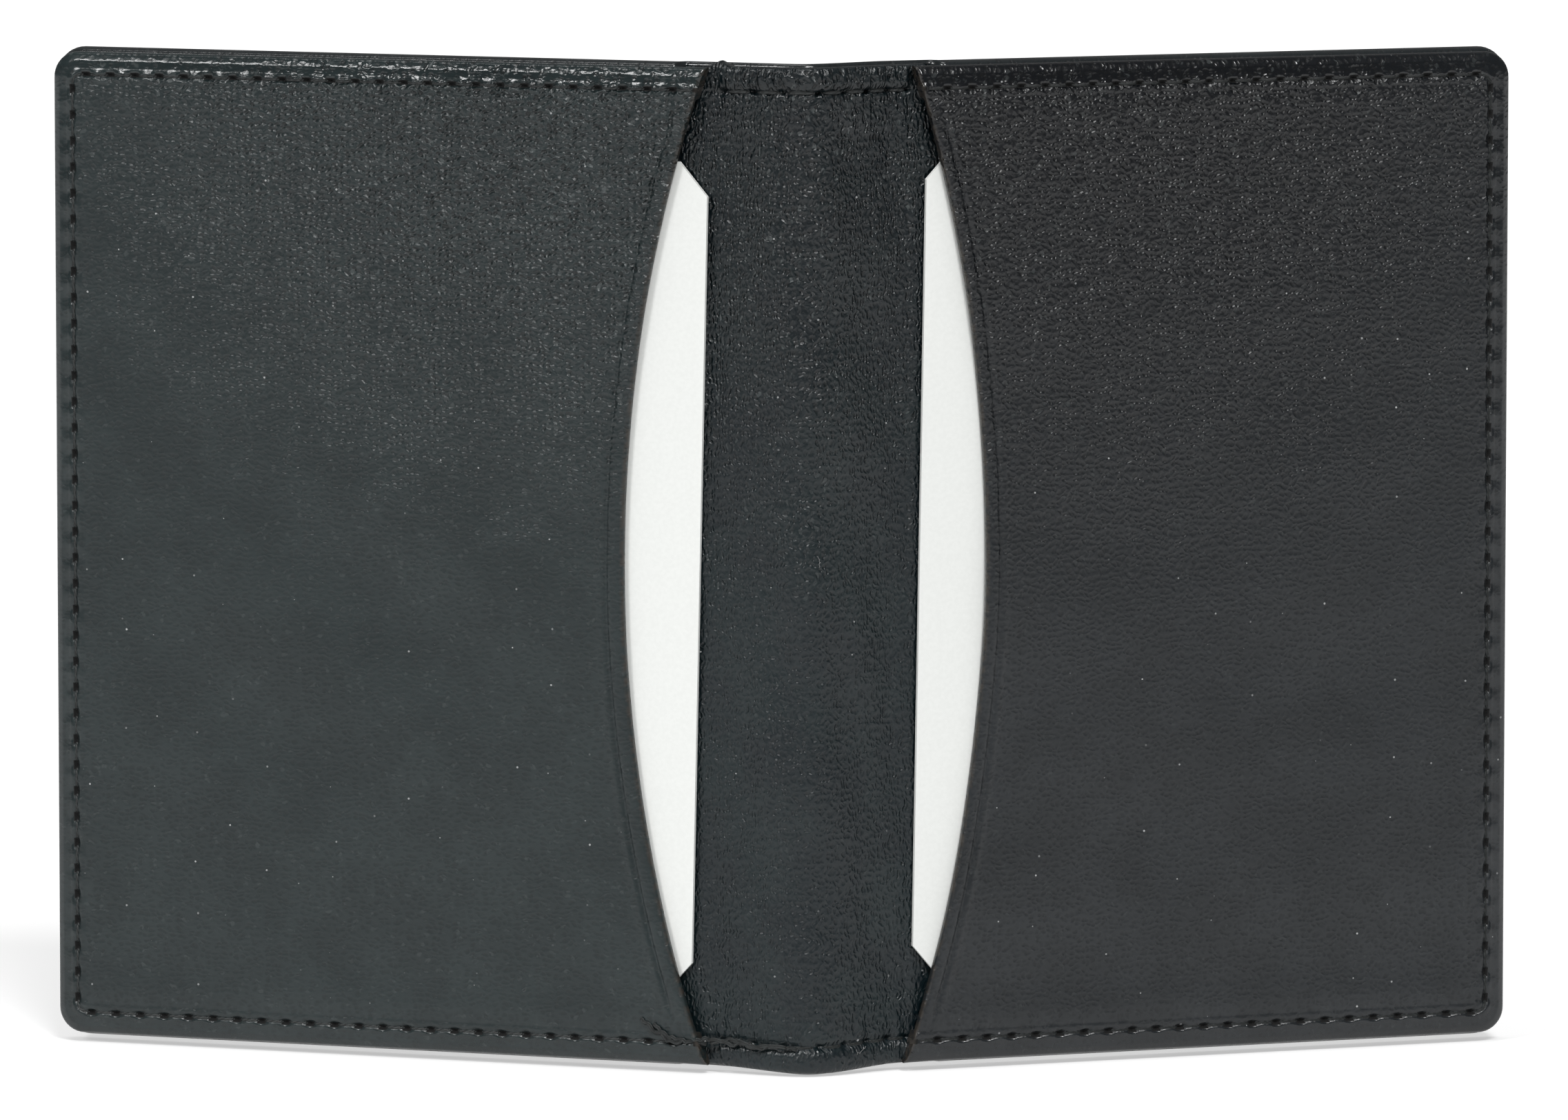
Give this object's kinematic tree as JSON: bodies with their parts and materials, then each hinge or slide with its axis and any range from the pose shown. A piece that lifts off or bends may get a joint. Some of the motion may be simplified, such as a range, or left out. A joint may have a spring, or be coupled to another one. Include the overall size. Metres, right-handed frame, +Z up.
{
  "type": "card holder",
  "caption": "Bifold card holder in black leather, open on its lower edges, with a curved-mouth pocket and a white card insert in each panel and a flexing fold between them.",
  "frame": {"origin": "middle of the holder's footprint, on the surface it stands on", "axes": "+X to the right along the open holder, seen from its inner side; +Y away from its inner side; +Z up"},
  "size_m": [0.1534, 0.029, 0.105],
  "materials": {
    "outer_cover_left": "black pebbled leather, satin",
    "outer_cover_spine": "black pebbled leather, satin",
    "outer_cover_right": "black pebbled leather, satin",
    "stiffener_left": "plain grey-brown board",
    "stiffener_right": "plain grey-brown board",
    "inner_lining_left": "thin black leather, matt",
    "inner_lining_right": "thin black leather, matt",
    "inner_strip": "thin black leather, creased, satin",
    "pocket_panel_left": "black grained leather, satin",
    "pocket_panel_right": "black grained leather, satin",
    "card_insert_left": "plain white card, matt",
    "card_insert_right": "plain white card, matt",
    "stitching_left": "black sewing thread",
    "stitching_right": "black sewing thread",
    "stitching_back_left": "black sewing thread",
    "stitching_back_right": "black sewing thread",
    "stitching_spine_top": "black sewing thread",
    "stitching_spine_bottom": "black sewing thread"
  },
  "bodies": {
    "spine": {"outer_cover_spine": "outer_cover_spine", "inner_strip": "inner_strip", "stitching_spine_top": "stitching_spine_top", "stitching_spine_bottom": "stitching_spine_bottom"},
    "left_panel": {"outer_cover_left": "outer_cover_left", "stiffener_left": "stiffener_left", "inner_lining_left": "inner_lining_left", "pocket_panel_left": "pocket_panel_left", "stitching_left": "stitching_left", "stitching_back_left": "stitching_back_left"},
    "right_panel": {"outer_cover_right": "outer_cover_right", "stiffener_right": "stiffener_right", "inner_lining_right": "inner_lining_right", "pocket_panel_right": "pocket_panel_right", "stitching_right": "stitching_right", "stitching_back_right": "stitching_back_right"},
    "card_left": {"card_insert_left": "card_insert_left"},
    "card_right": {"card_insert_right": "card_insert_right"}
  },
  "joints": [
    {"name": "left_fold", "type": "hinge", "parent": "spine", "child": "left_panel", "pos_m": [-0.00299, -0.01218, 0], "axis": [0, 0, 1], "range_deg": [-8, 109], "deforming": ["outer_cover_spine", "inner_strip", "stitching_spine_top", "stitching_spine_bottom"]},
    {"name": "right_fold", "type": "hinge", "parent": "spine", "child": "right_panel", "pos_m": [0.00299, -0.01218, 0], "axis": [0, 0, 1], "range_deg": [-109, 8]},
    {"name": "card_left_slide", "type": "slide", "parent": "left_panel", "child": "card_left", "axis": [-0.9455, 0.3256, 0], "range_m": [-0.008, 0.01]},
    {"name": "card_right_slide", "type": "slide", "parent": "right_panel", "child": "card_right", "axis": [0.9455, 0.3256, 0], "range_m": [-0.0038, 0.0045]}
  ],
  "couplings": [
    {"joint": "right_fold", "follows": "left_fold", "ratio": -1}
  ]
}
